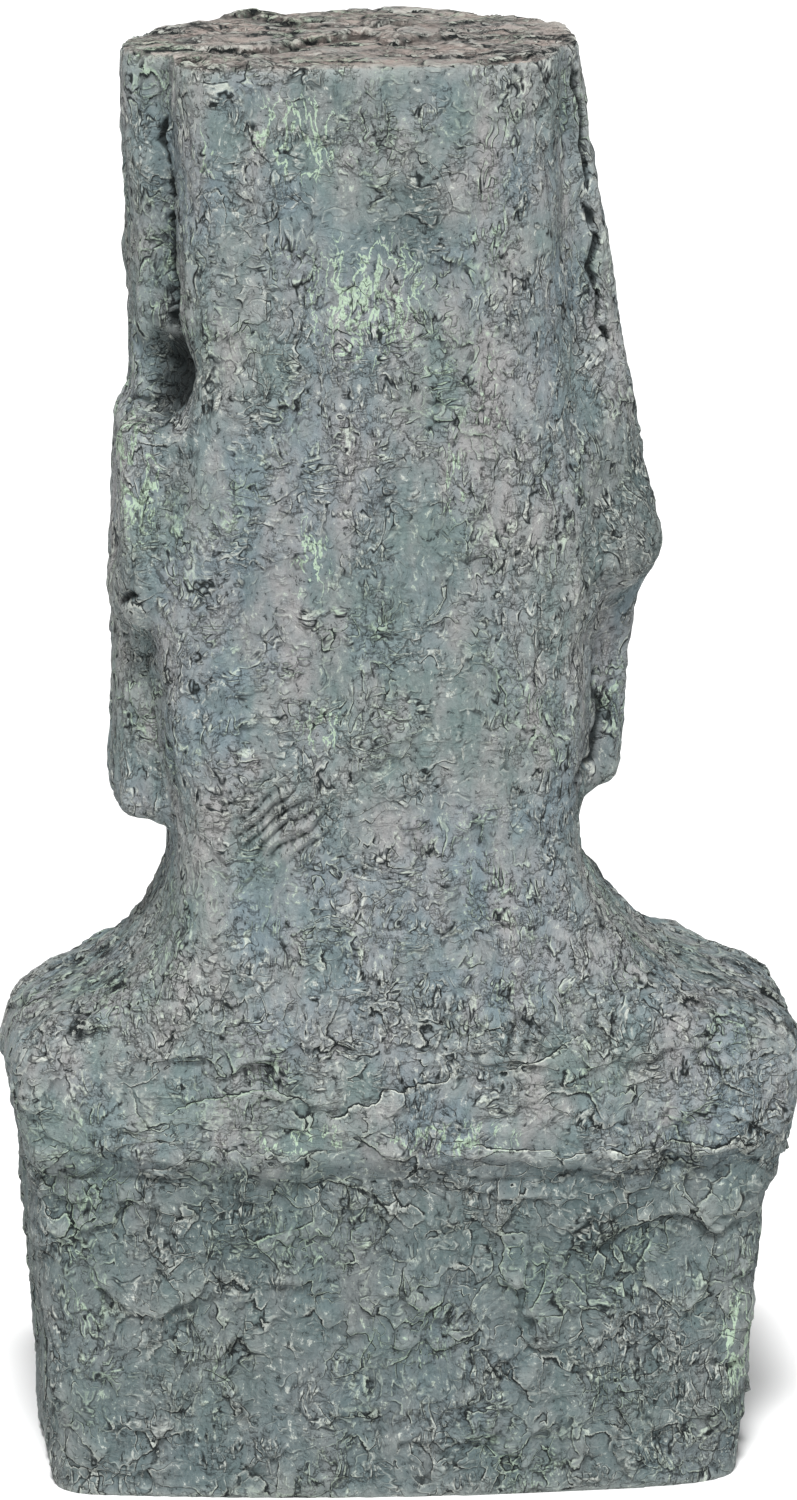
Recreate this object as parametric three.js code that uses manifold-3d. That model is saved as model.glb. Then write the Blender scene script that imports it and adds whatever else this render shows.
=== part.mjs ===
// A moai bust for the garden: a long stone-like head on a short torso, cast in one piece.
// Millimetres, +Z up. The face looks along -Y and the figure's own left is +X.
// The origin is on the ground, at the middle of the bounding box.
//
// The figure is carved the way a block is: rounded columns for the torso, the neck and the head,
// then bars, wedges and hollows for the features. Each form is a distance field, negative inside,
// and the fields run into each other with the fillet that the chisel leaves. One skin is then laid
// over the whole field, and the crown and the base are sawn off flat.
import * as THREE from "three";
import { mergeVertices } from "three/addons/utils/BufferGeometryUtils.js";
import Module from "manifold-3d";

// ---------------------------------------------------------------- driving dimensions

const HEIGHT = 500; // ground to crown

const SHOULDER_Z = 148; // the shoulders are widest here
const SHOULDER_TOP = 171;
const LEDGE_Z = 120; // and end in a low ledge across the back
const TORSO_FRONT = -66;

const CHIN_Z = 235; // underside of the jaw
const EAR_TOP = 380;
const EAR_LOW = 307;
const FLANGE_Y = 29; // back of the wide slab that carries the face
const BACK_Y = 60; // and back of the narrower block behind it

const FACE_X = 10; // middle of the face: the head stands a little towards its left
const FACE_Y = -50; // plane of the cheeks
const BROW_Z = 432;
const EYE_Z = 408;
const NOSE_TIP_Z = 344;
const MOUTH_Z = 309;

const OVERRUN = 36; // the skin runs past the saw cuts by this much
const NET_STEP = 5; // spacing of the net that the skin is first laid with
const FACETS = 9400; // and what it is thinned to
const EVENNESS = 2e-5; // how much the thinning favours facets of one size
const FLAT_DETERMINANT = 1; // below this a patch is so flat that its lowest point is undefined

// ---------------------------------------------------------------- small tools

const clamp = THREE.MathUtils.clamp;
const smoothstep = THREE.MathUtils.smoothstep;
const lerp = THREE.MathUtils.lerp;

// A smooth curve through [position, value] stations, level beyond its ends.
function profile(stations) {
  const slope = stations.map((s, i) => {
    const before = stations[Math.max(i - 1, 0)];
    const after = stations[Math.min(i + 1, stations.length - 1)];
    return (after[1] - before[1]) / (after[0] - before[0]);
  });
  return (t) => {
    const last = stations.length - 1;
    if (t <= stations[0][0]) return stations[0][1];
    if (t >= stations[last][0]) return stations[last][1];
    let i = 0;
    while (t > stations[i + 1][0]) i++;
    const span = stations[i + 1][0] - stations[i][0];
    const u = (t - stations[i][0]) / span;
    const rise = u * u * (3 - 2 * u);
    return (
      lerp(stations[i][1], stations[i + 1][1], rise) +
      span * u * (1 - u) * ((1 - u) * slope[i] - u * slope[i + 1])
    );
  };
}

// Two fields joined with a fillet of about k, the space that they share, and a minus b.
function join(a, b, k) {
  const h = Math.max(k - Math.abs(a - b), 0) / k;
  return Math.min(a, b) - (h * h * k) / 4;
}
const meet = (a, b, k) => -join(-a, -b, k);
const cut = (a, b, k) => meet(a, -b, k);

function box(x, y, z, [hx, hy, hz], round) {
  const qx = Math.abs(x) - hx + round;
  const qy = Math.abs(y) - hy + round;
  const qz = Math.abs(z) - hz + round;
  const outside = Math.hypot(Math.max(qx, 0), Math.max(qy, 0), Math.max(qz, 0));
  return outside + Math.min(Math.max(qx, qy, qz), 0) - round;
}

function ellipsoid(x, y, z, [hx, hy, hz]) {
  const k0 = Math.hypot(x / hx, y / hy, z / hz);
  const k1 = Math.hypot(x / hx ** 2, y / hy ** 2, z / hz ** 2);
  return k1 ? (k0 * (k0 - 1)) / k1 : -Math.min(hx, hy, hz);
}

// A straight bar from a to b, round in section, its radius going from ra to rb.
function bar(x, y, z, a, b, ra, rb = ra) {
  const d = [b[0] - a[0], b[1] - a[1], b[2] - a[2]];
  const along = (x - a[0]) * d[0] + (y - a[1]) * d[1] + (z - a[2]) * d[2];
  const t = clamp(along / (d[0] ** 2 + d[1] ** 2 + d[2] ** 2), 0, 1);
  return (
    Math.hypot(x - a[0] - d[0] * t, y - a[1] - d[1] * t, z - a[2] - d[2] * t) -
    lerp(ra, rb, t)
  );
}

// An upright column. Its section is a superellipse between the given sides, squarer as n rises,
// with a front and a back half of their own that meet at the widest line.
function column(x, y, { right, left, front, back, widest, n, nBack = n }) {
  const cx = (left + right) / 2;
  const cy = widest ?? (front + back) / 2;
  const power = y < cy ? n : nBack;
  const u = Math.abs(x - cx) / ((left - right) / 2);
  const v = Math.abs(y - cy) / (y < cy ? cy - front : back - cy);
  const reach = (u ** power + v ** power) ** (1 / power);
  const distance = Math.hypot(x - cx, y - cy);
  return reach > 1e-6 ? distance * (1 - 1 / reach) : -(left - right) / 2;
}

// ---------------------------------------------------------------- torso and neck

const torsoLeft = profile([
  [0, 125],
  [50, 128],
  [LEDGE_Z - 10, 133],
  [LEDGE_Z + 6, 135],
  [SHOULDER_Z, 138],
  [SHOULDER_TOP, 136],
]);
const torsoRight = profile([
  [0, -112],
  [50, -117],
  [95, -121],
  [LEDGE_Z - 5, -128],
  [SHOULDER_Z, -137],
  [SHOULDER_TOP, -132],
]);
// The back of the whole block, from the ground up. It overhangs a little at the ledge.
const backLine = profile([
  [0, BACK_Y + 4],
  [LEDGE_Z - 8, BACK_Y + 2],
  [LEDGE_Z + 5, BACK_Y + 6],
  [165, BACK_Y + 5],
  [235, BACK_Y - 3],
  [340, BACK_Y - 1],
  [HEIGHT, BACK_Y],
]);

function torso(x, y, z) {
  const block = column(x, y, {
    right: torsoRight(z),
    left: torsoLeft(z),
    front: TORSO_FRONT + 8 * smoothstep(z, 90, SHOULDER_TOP),
    back: BACK_Y + 10,
    n: 6,
  });
  // The shoulders fall away from the neck, to both sides and to the chest and the back.
  const fall = (x > 0 ? 0.11 : 0.125) * Math.abs(x) + 0.0016 * y * y;
  return meet(block, z - SHOULDER_TOP - 13 + fall, 22);
}

function neck(x, y, z) {
  const spread = 3 * (1 - smoothstep(z, 215, 300));
  const foot = 1 - smoothstep(z, 190, 235);
  return column(x, y, {
    right: FACE_X - 62 - spread - 9 * foot,
    left: FACE_X + 65 + spread,
    front: -38 - 12 * foot,
    back: BACK_Y + 6,
    n: 3.2,
  });
}

// Arms held to the sides: a groove down the front parts each from the chest.
function armGroove(x, y, z, side) {
  const top = [side * 99, TORSO_FRONT - 2, 136];
  const foot = [side * 90, TORSO_FRONT - 4, -20];
  return bar(x, y, z, foot, top, 8, 5);
}

function breast(x, y, z, side) {
  return ellipsoid(x - side * 42, y - TORSO_FRONT - 12, z - 116, [46, 16, 36]);
}

function collarBone(x, y, z, side) {
  const inner = [side * 12, TORSO_FRONT + 12, 154];
  const outer = [side * 100, TORSO_FRONT + 24, 166];
  return bar(x, y, z, inner, outer, 8, 5);
}

// ---------------------------------------------------------------- head

// The block behind: its left side is upright, its right side leans in as it rises.
const skullLeft = profile([
  [220, 77],
  [250, 80],
  [300, 86],
  [350, 79],
  [400, 75],
  [HEIGHT, 77],
]);
const skullRight = profile([
  [220, -56],
  [270, -66],
  [400, -66],
  [440, -62],
  [HEIGHT, -52],
]);
const skullChamfer = profile([
  [340, 76],
  [420, 60],
  [HEIGHT, 47],
]);

function skull(x, y, z) {
  const block = column(x, y, {
    right: skullRight(z),
    left: skullLeft(z),
    front: -30,
    back: BACK_Y + 8,
    n: 6,
  });
  return meet(block, 0.62 * y - 0.785 * x - skullChamfer(z), 24);
}

// The slab that carries the face, from temple to temple and down to the jaw.
const maskLeft = profile([
  [CHIN_Z, 100],
  [262, 98.5],
  [330, 97],
  [385, 91],
  [HEIGHT, 93],
]);
const maskRight = profile([
  [CHIN_Z, -74],
  [285, -77],
  [310, -80],
  [385, -76],
  [440, -69],
  [470, -64],
  [HEIGHT, -59],
]);

function mask(x, y, z) {
  const rise = smoothstep(z, BROW_Z + 5, HEIGHT);
  const forehead = 8 * smoothstep(z, 330, 420);
  const jaw = 11 * (1 - smoothstep(z, CHIN_Z + 36, CHIN_Z + 84));
  const slab = column(x, y, {
    right: maskRight(z),
    left: maskLeft(z),
    front: FACE_Y - forehead - jaw + 0.13 * Math.max(x, 0) * rise,
    back: FLANGE_Y,
    widest: 8,
    n: lerp(3.6, 2, rise),
    nBack: 7,
  });
  const rightward = Math.max(FACE_X - x, 0);
  return meet(slab, CHIN_Z - z + 0.001 * rightward ** 2, 9);
}

// A ridge along the front of the face, bowed back and down towards its ends.
function ridge(x, y, z, { half, front, level, deep, tall, bow, droop }) {
  return box(x, y - front - deep - bow * x * x, z - level + droop * x * x, [half, deep, tall], tall);
}

const browRidge = { half: 76, front: -70, level: BROW_Z, deep: 14, tall: 9, bow: 0.0035, droop: 0.0014 };
const upperLip = { half: 31, front: -74, level: MOUTH_Z + 6, deep: 12, tall: 6, bow: 0.007, droop: 0.003 };
const lowerLip = { half: 28, front: -73, level: MOUTH_Z - 6, deep: 12, tall: 6, bow: 0.008, droop: 0.002 };

function eyeHollow(x, y, z, side) {
  return ellipsoid(x - side * 37, y - FACE_Y + 12, z - EYE_Z - 1, [32, 24, 18]);
}

function eyelid(x, y, z, side) {
  return ellipsoid(x - side * 37, y - FACE_Y - 6, z - EYE_Z + 3, [23, 12, 9]);
}

// The nose is a long wedge with a hooked tip and two flared wings.
function nose(x, y, z) {
  const root = [0, FACE_Y - 10, BROW_Z - 6];
  const tip = [0, FACE_Y - 28, NOSE_TIP_Z + 9];
  const bridge = bar(x, y, z, root, tip, 9, 14);
  const wings = [-1, 1].map((side) =>
    ellipsoid(x - side * 16, y - FACE_Y + 14, z - NOSE_TIP_Z - 6, [11, 17, 12]),
  );
  return meet(join(bridge, Math.min(...wings), 8), NOSE_TIP_Z - 5 - z, 5);
}

function cheek(x, y, z, side) {
  return ellipsoid(x - side * 46, y - FACE_Y - 5, z - 348, [32, 12, 54]);
}

// The mouth stands on a low swelling between the nose and the chin.
function muzzle(x, y, z) {
  return ellipsoid(x, y - FACE_Y - 2, z - MOUTH_Z, [50, 20, 36]);
}

function chin(x, y, z) {
  return ellipsoid(x, y - FACE_Y - 2, z - CHIN_Z - 24, [40, 26, 24]);
}

function face(x, y, z) {
  const fx = x - FACE_X;
  let f = join(mask(x, y, z), muzzle(fx, y, z), 14);
  f = join(f, meet(chin(fx, y, z), CHIN_Z - z, 10), 24);
  for (const side of [-1, 1]) f = join(f, cheek(fx, y, z, side), 16);
  f = join(f, ridge(fx, y, z, browRidge), 12);
  for (const side of [-1, 1]) {
    f = cut(f, eyeHollow(fx, y, z, side), 9);
    f = join(f, eyelid(fx, y, z, side), 5);
  }
  f = join(f, nose(fx, y, z), 7);
  const lips = join(ridge(fx, y, z, upperLip), ridge(fx, y, z, lowerLip), 2);
  return join(f, lips, 6);
}

// The left ear is a squared slab with a ledge on top and a shell cut into its side.
function leftEar(x, y, z) {
  const middle = (EAR_TOP + EAR_LOW) / 2;
  const slab = box(x - 82 + 0.03 * (z - EAR_LOW), y - 20, z - middle, [17, 25, EAR_TOP - middle], 8);
  return cut(slab, box(x - 99, y - 18, z - middle - 4, [5, 12, 24], 5), 5);
}

// The head is dug out above that ear, where the ledge meets the skull.
const aboveLeftEar = (x, y, z) => ellipsoid(x - 85, y - 44, z - EAR_TOP - 15, [17, 24, 17]);

// The right ear hangs as a longer, rounder lobe.
function rightEar(x, y, z) {
  const top = [-61.5, 20, EAR_TOP + 4];
  const lobe = [-67, 24, EAR_LOW + 24];
  const body = meet(bar(x, y, z, top, lobe, 13, 20), EAR_LOW - 8 - z, 8);
  return cut(body, ellipsoid(x + 88, y - 12, z - EAR_LOW - 34, [6, 10, 26]), 5);
}

// ---------------------------------------------------------------- the whole figure

function figure(x, y, z) {
  let f = join(torso(x, y, z), neck(x, y, z), 64);
  for (const side of [-1, 1]) {
    f = join(f, breast(x, y, z, side), 14);
    f = join(f, collarBone(x, y, z, side), 10);
    f = cut(f, armGroove(x, y, z, side), 8);
  }
  if (z > SHOULDER_Z) {
    let head = join(skull(x, y, z), face(x, y, z), 6);
    head = cut(join(head, leftEar(x, y, z), 8), aboveLeftEar(x, y, z), 8);
    head = join(head, rightEar(x, y, z), 9);
    f = join(f, head, 10);
  }
  // The back is bowed, most at its right below and at its left above.
  const crest = lerp(-45, 25, z / HEIGHT);
  const back = y - backLine(z) + 0.0007 * (x - crest) ** 2;
  return Math.max(meet(f, back, 12), -z - OVERRUN / 2, z - HEIGHT - OVERRUN / 2);
}

// ---------------------------------------------------------------- skin

// Evenly spaced grid lines from one end to the other.
function gridLines(from, to, step) {
  const count = Math.ceil((to - from) / step);
  return Array.from({ length: count + 1 }, (_, i) => lerp(from, to, i / count));
}

// Moves a point onto the field's zero surface, never further than reach.
function settle(field, point, reach) {
  const start = point.slice();
  const e = 0.05;
  for (let pass = 0; pass < 4; pass++) {
    const [x, y, z] = point;
    const value = field(x, y, z);
    const slope = [
      (field(x + e, y, z) - field(x - e, y, z)) / (2 * e),
      (field(x, y + e, z) - field(x, y - e, z)) / (2 * e),
      (field(x, y, z + e) - field(x, y, z - e)) / (2 * e),
    ];
    const steep = slope[0] ** 2 + slope[1] ** 2 + slope[2] ** 2;
    if (steep < 1e-6) return point;
    point = point.map((p, i) =>
      clamp(
        p - (value * slope[i]) / steep,
        start[i] - reach,
        start[i] + reach,
      ),
    );
  }
  return point;
}

// Surface nets: one vertex in each grid cell that the surface crosses, one quad on each edge.
function surfaceNet(field, xs, ys, zs) {
  const [nx, ny, nz] = [xs.length, ys.length, zs.length];
  const at = (i, j, k) => (k * ny + j) * nx + i;
  const values = new Float64Array(nx * ny * nz);
  for (let k = 0; k < nz; k++)
    for (let j = 0; j < ny; j++)
      for (let i = 0; i < nx; i++)
        values[at(i, j, k)] = field(xs[i], ys[j], zs[k]);

  const corners = [0, 1, 2, 3, 4, 5, 6, 7].map((c) => [
    c & 1,
    (c >> 1) & 1,
    c >> 2,
  ]);
  const edges = [];
  for (let a = 0; a < 8; a++)
    for (const bit of [1, 2, 4]) if (!(a & bit)) edges.push([a, a | bit]);

  const vertexOf = new Int32Array(nx * ny * nz).fill(-1);
  const points = [];
  for (let k = 0; k < nz - 1; k++)
    for (let j = 0; j < ny - 1; j++)
      for (let i = 0; i < nx - 1; i++) {
        const v = corners.map(([a, b, c]) => values[at(i + a, j + b, k + c)]);
        const sum = [0, 0, 0];
        let crossings = 0;
        for (const [a, b] of edges) {
          if (v[a] < 0 === v[b] < 0) continue;
          const t = v[a] / (v[a] - v[b]);
          const [ca, cb] = [corners[a], corners[b]];
          sum[0] += lerp(xs[i + ca[0]], xs[i + cb[0]], t);
          sum[1] += lerp(ys[j + ca[1]], ys[j + cb[1]], t);
          sum[2] += lerp(zs[k + ca[2]], zs[k + cb[2]], t);
          crossings++;
        }
        if (!crossings) continue;
        vertexOf[at(i, j, k)] = points.length;
        const middle = sum.map((s) => s / crossings);
        points.push(new THREE.Vector3(...settle(field, middle, 0.3 * (xs[i + 1] - xs[i]))));
      }

  const faces = [];
  for (let k = 1; k < nz - 1; k++)
    for (let j = 1; j < ny - 1; j++)
      for (let i = 1; i < nx - 1; i++) {
        const inside = values[at(i, j, k)] < 0;
        const steps = [
          [at(i + 1, j, k), [0, 1, 0], [0, 0, 1]],
          [at(i, j + 1, k), [0, 0, 1], [1, 0, 0]],
          [at(i, j, k + 1), [1, 0, 0], [0, 1, 0]],
        ];
        for (const [next, p, q] of steps) {
          if (inside === values[next] < 0) continue;
          const cell = (a, b) =>
            vertexOf[at(i - a * p[0] - b * q[0], j - a * p[1] - b * q[1], k - a * p[2] - b * q[2])];
          const ring = [cell(1, 1), cell(0, 1), cell(0, 0), cell(1, 0)];
          if (!inside) ring.reverse();
          const [a, b, c, d] = ring;
          const across = points[a].distanceTo(points[c]) - points[b].distanceTo(points[d]);
          if (across < 0) faces.push([a, b, c], [a, c, d]);
          else faces.push([b, c, d], [b, d, a]);
        }
      }
  return { points, faces };
}

// A plane's quadric, and the squared distance that a sum of quadrics gives at a point.
function planeQuadric({ normal: n, constant: d }, weight) {
  const q = [n.x * n.x, n.x * n.y, n.x * n.z, n.y * n.y, n.y * n.z, n.z * n.z];
  return [...q, n.x * d, n.y * d, n.z * d, d * d].map((term) => term * weight);
}

function quadricError(q, { x, y, z }) {
  return (
    q[0] * x * x + 2 * q[1] * x * y + 2 * q[2] * x * z + q[3] * y * y + 2 * q[4] * y * z +
    q[5] * z * z + 2 * q[6] * x + 2 * q[7] * y + 2 * q[8] * z + q[9]
  );
}

function quadricLow(q, fallback) {
  const m = new THREE.Matrix3().set(q[0], q[1], q[2], q[1], q[3], q[4], q[2], q[4], q[5]);
  if (Math.abs(m.determinant()) < FLAT_DETERMINANT) return fallback;
  return new THREE.Vector3(-q[6], -q[7], -q[8]).applyMatrix3(m.invert());
}

// Thins a closed mesh edge by edge, so that plain stone has few facets and carving has many.
// Each round joins the ends of the edges whose loss changes the shape least.
function thin({ points, faces }, target) {
  const around = points.map(() => new Set());
  faces.forEach((face, f) => face.forEach((p) => around[p].add(f)));
  const alive = faces.map(() => true);
  const plane = new THREE.Plane();
  const normalOf = (face) =>
    plane.setFromCoplanarPoints(...face.map((p) => points[p])).normal.clone();
  const quadrics = points.map(() => new Array(10).fill(0));
  for (const face of faces) {
    plane.setFromCoplanarPoints(...face.map((p) => points[p]));
    const q = planeQuadric(plane, new THREE.Triangle(...face.map((p) => points[p])).getArea());
    for (const p of face) q.forEach((term, i) => (quadrics[p][i] += term));
  }
  const ring = (p) => {
    const near = new Set();
    for (const f of around[p]) faces[f].forEach((n) => n !== p && near.add(n));
    return near;
  };
  const option = (a, b) => {
    const q = quadrics[a].map((term, i) => term + quadrics[b][i]);
    const middle = points[a].clone().add(points[b]).multiplyScalar(0.5);
    const length = points[a].distanceTo(points[b]);
    let place = quadricLow(q, middle);
    if (place.distanceTo(middle) > length) place = middle;
    return { a, b, q, place, cost: quadricError(q, place) + EVENNESS * length ** 4 };
  };
  const flips = (p, other, place) => {
    for (const f of around[p]) {
      if (faces[f].includes(other)) continue;
      const before = normalOf(faces[f]);
      const corners = faces[f].map((n) => (n === p ? place : points[n]));
      const after = plane.setFromCoplanarPoints(...corners).normal;
      if (!(before.dot(after) > 0.5)) return true;
    }
    return false;
  };
  let count = faces.length;
  while (count > target) {
    const options = [];
    for (let a = 0; a < points.length; a++)
      if (around[a].size) for (const b of ring(a)) if (a < b) options.push(option(a, b));
    options.sort((s, t) => s.cost - t.cost);
    const touched = new Set();
    const before = count;
    for (const { a, b, q, place } of options.slice(0, Math.ceil(options.length * 0.2))) {
      if (count <= target) break;
      if (touched.has(a) || touched.has(b)) continue;
      const [nearA, nearB] = [ring(a), ring(b)];
      const shared = [...nearA].filter((n) => nearB.has(n));
      if (shared.length !== 2) continue;
      if (flips(a, b, place) || flips(b, a, place)) continue;
      for (const n of [...nearA, ...nearB]) touched.add(n);
      points[a].copy(place);
      quadrics[a] = q;
      for (const f of around[b]) {
        if (faces[f].includes(a)) {
          alive[f] = false;
          faces[f].forEach((n) => n !== b && around[n].delete(f));
          count--;
        } else {
          faces[f] = faces[f].map((n) => (n === b ? a : n));
          around[a].add(f);
        }
      }
      around[b].clear();
    }
    if (count === before) break;
  }
  return { points, faces: faces.filter((face, f) => alive[f]) };
}

function meshOf({ points, faces }) {
  const geometry = new THREE.BufferGeometry().setFromPoints(points);
  return geometry.setIndex(faces.flat());
}

// ---------------------------------------------------------------- sawing flat

const wasm = await Module();
wasm.setup();

function toSolid(geometry) {
  const bare = geometry.clone();
  bare.deleteAttribute("normal");
  bare.deleteAttribute("uv");
  const merged = mergeVertices(bare);
  return new wasm.Manifold(
    new wasm.Mesh({
      numProp: 3,
      vertProperties: merged.attributes.position.array,
      triVerts: new Uint32Array(merged.index.array),
    }),
  );
}

function toGeometry(solid) {
  const mesh = solid.getMesh();
  const geometry = new THREE.BufferGeometry();
  geometry.setAttribute("position", new THREE.BufferAttribute(mesh.vertProperties, 3));
  geometry.setIndex(new THREE.BufferAttribute(mesh.triVerts, 1));
  return geometry;
}

// What is left of a geometry between two heights.
function sawnBetween(geometry, low, high) {
  const slab = new THREE.BoxGeometry(1000, 1000, high - low);
  slab.translate(0, 0, (low + high) / 2);
  return toGeometry(toSolid(geometry).intersect(toSolid(slab)));
}

// ---------------------------------------------------------------- the model

const xs = gridLines(-150, 150, NET_STEP);
const ys = gridLines(-112, 84, NET_STEP);
const zs = gridLines(-OVERRUN, HEIGHT + OVERRUN, NET_STEP);

const skin = thin(surfaceNet(figure, xs, ys, zs), FACETS);
const geometry = sawnBetween(meshOf(skin), 0, HEIGHT);
geometry.computeBoundingBox();
const middle = geometry.boundingBox.getCenter(new THREE.Vector3());
geometry.translate(-middle.x, -middle.y, 0);
geometry.computeVertexNormals();

const stone = new THREE.MeshStandardMaterial({
  name: "weathered_stone",
  color: 0x7f8a8a,
  roughness: 0.9,
  metalness: 0,
});

const statue = new THREE.Mesh(geometry, stone);
statue.name = "moai_bust";

const model = new THREE.Group();
model.add(statue);
export default model;
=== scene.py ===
"""Looks of the cast moai bust: chipped relief over the CAD solid, stone finish and studio."""

import math
from collections import namedtuple

import bpy
import numpy as np
from mathutils import Matrix, Vector


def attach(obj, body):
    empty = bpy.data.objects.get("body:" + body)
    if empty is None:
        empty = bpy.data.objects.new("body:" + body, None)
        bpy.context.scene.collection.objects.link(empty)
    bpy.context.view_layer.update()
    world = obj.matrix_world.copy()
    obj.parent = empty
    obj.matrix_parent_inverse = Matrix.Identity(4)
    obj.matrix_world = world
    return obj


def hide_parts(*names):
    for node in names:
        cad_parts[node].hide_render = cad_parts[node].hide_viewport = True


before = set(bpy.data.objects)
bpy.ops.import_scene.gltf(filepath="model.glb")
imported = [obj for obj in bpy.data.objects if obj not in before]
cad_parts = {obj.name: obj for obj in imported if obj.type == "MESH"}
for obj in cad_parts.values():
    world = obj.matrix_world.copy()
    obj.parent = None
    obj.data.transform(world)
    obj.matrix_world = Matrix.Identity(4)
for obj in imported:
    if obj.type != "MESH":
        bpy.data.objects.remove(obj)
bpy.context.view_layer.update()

# ---------------------------------------------------------------- sizes, in millimetres
MM = 0.001
VOXEL = 1.15
SMOOTHING_ROUNDS = 14
TRIANGLE_LIMIT = 199000
SHARP_ANGLE = math.radians(48)
HEIGHT = 500.0
LEDGE_Z = 125.0
SHOULDER_Z = 160.0
UNDERSIDE = 0.2  # whatever is lower than this belongs to the flat underside
CALM_BAND = 5.0  # the relief grows from nothing over this height above the ground

Chips = namedtuple("Chips", "size salt tilt step bevel")
BIG_CHIPS = Chips(size=19, salt=100, tilt=1.1, step=0.5, bevel=1.6)
SMALL_CHIPS = Chips(size=8.5, salt=300, tilt=1.2, step=0.5, bevel=1.3)
CREASE_DEPTH = 0.25
GRIT_DEPTH = 0.35
GROOVE_DEPTH = 3.4
FAINT_GROOVE_FILL = 1.8
VALLEY_FILL = 1.6
CRACK_LIP = 0.7
LEDGE_ROUGHNESS = 1.3
HOLLOW_DEPTH = 4.0
GOUGE_SPACING, GOUGE_DEPTH = 4.6, 2.2
BURST_SPACING, BURST_DEPTH = 5.5, 2.0

# places on the statue, as (x, y, z); +X is the figure's left and +Y is its back
LEFT_GROOVE = [(79, 44, 497), (79, 43, 470), (78, 43, 440), (77, 44, 412), (79, 40, 396)]
HOLLOW, HOLLOW_REACH = (78, 43, 393), (15, 15, 19)
RIGHT_CRACK = [(-58, 37, 494), (-61, 38, 470), (-63, 39, 447), (-65, 40, 425), (-68, 40, 399)]
RIGHT_VALLEY = [(-66, 44, 389), (-61, 52, 359), (-55, 60, 347), (-57, 59, 318), (-65, 42, 305)]
LEFT_NOTCH = [(96, 56, 318), (99, 46, 317), (102, 38, 316)]
LEFT_EAR_TOP = [(82, 40, 386), (90, 36, 384), (97, 30, 383)]
JAW_CRACK = [(-64, 42, 282), (-66, 40, 269), (-65, 41, 255), (-58, 54, 250)]
FAINT_GROOVE = [(88, 41, 302), (85, 41, 270), (83, 42, 243)]
# each as (path, width, share of the full depth)
NARROW_GROOVES = [
    (RIGHT_CRACK, 2.3, 0.8),
    (JAW_CRACK, 3.2, 0.55),
    (LEFT_NOTCH, 3.2, 0.7),
    (LEFT_EAR_TOP, 3.0, 0.4),
]
# each as (path, depth)
BACK_CRACKS = [
    ([(84, 70, 140), (61, 73, 149), (41, 76, 146)], 0.7),
    ([(30, 77, 139), (12, 78, 146), (-7, 78, 153)], 1.0),
    ([(-34, 78, 154), (-52, 77, 165)], 1.0),
    ([(-20, 79, 126), (-62, 78, 123), (-113, 72, 124)], 1.0),
    ([(105, 62, 131), (60, 72, 126), (35, 76, 127)], 0.6),
]
GOUGES, GOUGES_REACH = (46, 67, 241), (27, 30, 22)
BURST, BURST_REACH = (-34, 77, 166), (15, 20, 13)
# where the grain runs aslant, each as (centre, reach, sideways for each unit upwards)
SLANTS = [
    ((-80, 45, 335), (26, 60, 46), -0.65),
    ((-66, 50, 392), (20, 40, 34), 0.6),
    ((70, 50, 300), (26, 60, 60), 0.35),
    ((-40, 76, 160), (40, 30, 34), -0.4),
]
# patches of paint, and of painted shade, each as (centre, reach, strength)
MINT_PATCHES = [
    ((39, 72, 477), (19, 30, 20), 0.8),
    ((16, 72, 422), (26, 30, 30), 0.8),
    ((92, 57, 363), (10, 30, 32), 1.0),
    ((69, 66, 470), (5, 30, 16), 0.7),
    ((-13, 72, 359), (7, 30, 20), 0.5),
    ((35, 71, 333), (9, 30, 22), 0.5),
    ((32, 69, 274), (12, 30, 12), 0.5),
    ((41, 76, 132), (26, 30, 7), 0.6),
    ((-10, 79, 130), (32, 30, 8), 0.7),
    ((-112, 66, 48), (10, 40, 26), 0.9),
    ((-118, 60, 12), (9, 30, 10), 0.8),
]
PALE_PATCHES = [
    ((13, 78, 141), (12, 20, 6), 1.0),
    ((-48, 79, 139), (6, 20, 8), 1.0),
    ((-86, 76, 136), (5, 20, 8), 1.0),
    ((54, 67, 262), (5, 20, 6), 1.0),
    ((-28, 70, 400), (10, 30, 60), 0.8),
    ((-38, 68, 300), (9, 30, 40), 0.7),
    ((-22, 72, 458), (14, 30, 30), 0.7),
    ((20, 75, 80), (10, 30, 45), 0.8),
    ((68, 70, 100), (8, 30, 40), 0.6),
]
# the dark patches are mostly painted shade: in the right ear's valley, along the grooves, notch
# and hollow, and on the lower torso; the two near the top of the head are darker paint
SHADE_AND_DARK_PATCHES = [
    ((26, 73, 486), (16, 30, 14), 0.6),
    ((1, 72, 448), (20, 30, 24), 0.7),
    ((-74, 48, 342), (24, 40, 48), 0.9),
    ((-66, 42, 262), (12, 40, 22), 0.8),
    ((80, 41, 430), (8, 30, 60), 0.6),
    ((84, 50, 388), (16, 30, 16), 0.8),
    ((95, 56, 322), (8, 30, 16), 0.6),
    ((64, 70, 96), (26, 40, 26), 0.5),
    ((-62, 73, 92), (34, 40, 28), 0.5),
]


class Salt:
    """A number for each pattern, so that no two of them line up."""

    SWELL, BUMPS = 1, 21
    BIG_PLACE, MID_PLACE = 7, 9
    CREASE, CREASE_PLACE, CREASE_BEND = 41, 47, 921
    GRIT = 43
    FLUTES, FLUTE_BEND = 45, 931
    HOLLOW, LEDGE = 51, 61
    GOUGES, GOUGE_SHAKE, BURST = 77, 79, 78
    RAG, FINE_RAG, TORN = 951, 961, 991
    GROOVE_GAPS, DRIFT, UPRIGHT = 971, 981, 993


# ---------------------------------------------------------------- noise on arrays of points
GRADIENTS = np.random.default_rng(4).normal(size=(256, 3))
GRADIENTS /= np.linalg.norm(GRADIENTS, axis=1)[:, None]


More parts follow.
